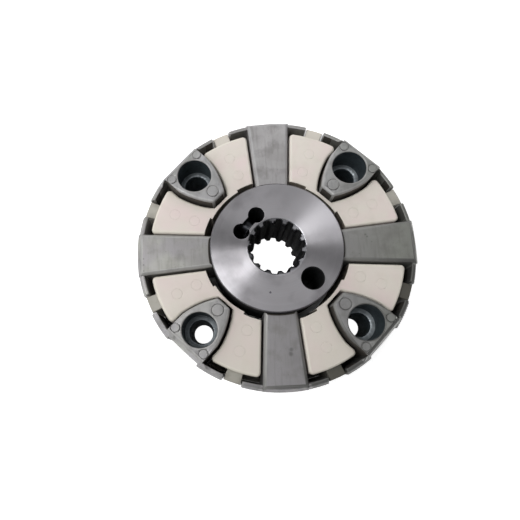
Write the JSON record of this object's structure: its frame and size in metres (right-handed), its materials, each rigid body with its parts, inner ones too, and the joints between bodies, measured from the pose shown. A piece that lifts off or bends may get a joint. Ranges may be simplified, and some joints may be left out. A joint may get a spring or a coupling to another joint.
{
  "type": "shaft coupling",
  "caption": "Round elastic coupling: splined clamping hub, screwed radial jaws, bolted flange jaws and a moulded ring of cushions between them.",
  "frame": {"origin": "on the shaft axis, in the plane of the flange jaws' back faces", "axes": "+Z along the shaft axis, from the engine flange towards the pump; +X and +Y each run along a hub jaw, and the flange jaws lie on the diagonals"},
  "size_m": [0.202, 0.202, 0.0434],
  "materials": {
    "turned_steel": "face turned, satin with fine concentric lines",
    "cushion_plastic": "moulded cream elastomer, faint satin",
    "flange_jaw_casting": "die-cast skin, matt grey",
    "hub_jaw_casting": "die-cast skin, matt light grey",
    "black_screw": "black oxide",
    "spring_steel": "oil-quenched spring steel, dark"
  },
  "bodies": {
    "flange_half": {"flange_jaw_1": "flange_jaw_casting", "flange_jaw_2": "flange_jaw_casting", "flange_jaw_3": "flange_jaw_casting", "flange_jaw_4": "flange_jaw_casting"},
    "cushion_ring": {"element": "cushion_plastic"},
    "hub_half": {"hub": "turned_steel", "hub_jaw_1": "hub_jaw_casting", "hub_jaw_2": "hub_jaw_casting", "hub_jaw_3": "hub_jaw_casting", "hub_jaw_4": "hub_jaw_casting", "jaw_screw_1": "black_screw", "jaw_screw_2": "black_screw", "jaw_screw_3": "black_screw", "jaw_screw_4": "black_screw", "spring_sleeve_1": "spring_steel", "spring_sleeve_2": "spring_steel", "spring_sleeve_3": "spring_steel", "spring_sleeve_4": "spring_steel", "clamp_screw_1": "black_screw", "clamp_screw_2": "black_screw"}
  },
  "joints": [
    {"name": "ring_twist", "type": "hinge", "parent": "flange_half", "child": "cushion_ring", "pos_m": [0, 0, 0], "axis": [0, 0, 1], "range_deg": [-0.35, 0.35]},
    {"name": "hub_twist", "type": "hinge", "parent": "cushion_ring", "child": "hub_half", "pos_m": [0, 0, 0], "axis": [0, 0, 1], "range_deg": [-0.35, 0.35]}
  ]
}
